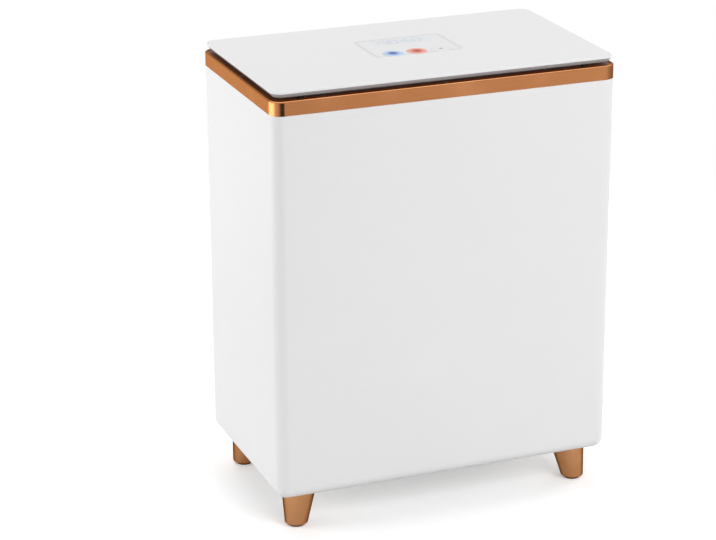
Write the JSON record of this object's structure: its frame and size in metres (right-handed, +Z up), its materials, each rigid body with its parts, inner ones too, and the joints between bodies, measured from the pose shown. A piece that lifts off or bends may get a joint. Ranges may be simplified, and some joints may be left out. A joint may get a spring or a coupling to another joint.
{
  "type": "towel warmer bucket",
  "caption": "Free-standing electric towel warmer: a tall white box with a heated bucket, a hinged lid with round keys, a copper-coloured band and tapered legs.",
  "frame": {"origin": "centre of the footprint on the floor, under the four feet", "axes": "+X to the right seen from the front, +Y to the back, where the lid hinges, +Z up"},
  "size_m": [0.401, 0.237, 0.5103],
  "materials": {
    "white_shell": "moulded satin white",
    "white_inner": "moulded matt white",
    "copper_trim": "brushed, anodised copper colour",
    "copper_leg": "satin, anodised copper colour",
    "black_plastic": "moulded matt black",
    "bronze_plastic": "moulded satin, dark bronze",
    "bucket_metal": "drawn, satin",
    "heater_rubber": "silicone mat",
    "wool": "needled blanket",
    "steel": "zinc plated",
    "board": "solder mask",
    "coil": "laminated core with taped coil",
    "dark_case": "moulded case",
    "terminal": "moulded block",
    "lead": "silicone sleeve",
    "black_lead": "sheath",
    "soft_black": "moulded",
    "soft_grey": "silicone",
    "fascia": "polished white",
    "window": "translucent white",
    "key_blue": "polished blue",
    "key_red": "polished red",
    "key_white": "polished white"
  },
  "bodies": {
    "housing": {"outer_shell": "white_shell", "trim_band": "copper_trim", "top_collar": "bronze_plastic", "collar_screws": "steel", "inner_bucket": "bucket_metal", "heater_side_mat": "heater_rubber", "heater_base_mat": "heater_rubber", "insulation_wrap": "wool", "insulation_base": "wool", "heat_shield": "steel", "heat_shield_screws": "steel", "thermostat": "dark_case", "thermal_fuse": "steel", "temperature_probe": "steel", "base_cover": "white_inner", "base_cover_screws": "steel", "power_board": "board", "power_board_screws": "steel", "transformer": "coil", "relay": "dark_case", "terminal_block": "terminal", "heater_leads": "lead", "sensor_leads": "lead", "lid_cable_lower": "black_lead", "cord_gland": "black_plastic", "cord_gland_nut": "black_plastic", "leg_studs": "steel", "leg_plates": "steel", "leg_nuts": "steel", "leg_pads": "soft_black", "leg_front_left": "copper_leg", "leg_front_right": "copper_leg", "leg_rear_left": "copper_leg", "leg_rear_right": "copper_leg", "hinge_bracket_left": "steel", "hinge_bracket_right": "steel", "hinge_bracket_screws": "steel", "hinge_pins": "steel"},
    "lid": {"hinge_leaf_left": "steel", "hinge_leaf_right": "steel", "hinge_leaf_screws": "steel", "lid_panel": "white_shell", "lid_liner": "white_inner", "lid_insulation": "wool", "lid_gasket": "soft_grey", "lid_bumpers": "soft_black", "lid_screws": "steel", "lid_cable_upper": "black_lead", "control_fascia": "fascia", "display_window": "window", "display_module": "dark_case", "control_board": "board", "control_board_screws": "steel", "tact_switches": "dark_case"},
    "blue_button": {"blue_button": "key_blue"},
    "red_button": {"red_button": "key_red"},
    "white_button": {"white_button": "key_white"}
  },
  "joints": [
    {"name": "lid_hinge", "type": "hinge", "parent": "housing", "child": "lid", "pos_m": [0, 0.114, 0.5038], "axis": [-1, 0, 0], "range_deg": [0, 100]},
    {"name": "blue_key_press", "type": "slide", "parent": "lid", "child": "blue_button", "axis": [0, 0, -1], "range_m": [0, 0.0006], "stiffness_N_per_m": 900},
    {"name": "red_key_press", "type": "slide", "parent": "lid", "child": "red_button", "axis": [0, 0, -1], "range_m": [0, 0.0006], "stiffness_N_per_m": 900},
    {"name": "white_key_press", "type": "slide", "parent": "lid", "child": "white_button", "axis": [0, 0, -1], "range_m": [0, 0.0006], "stiffness_N_per_m": 900}
  ]
}
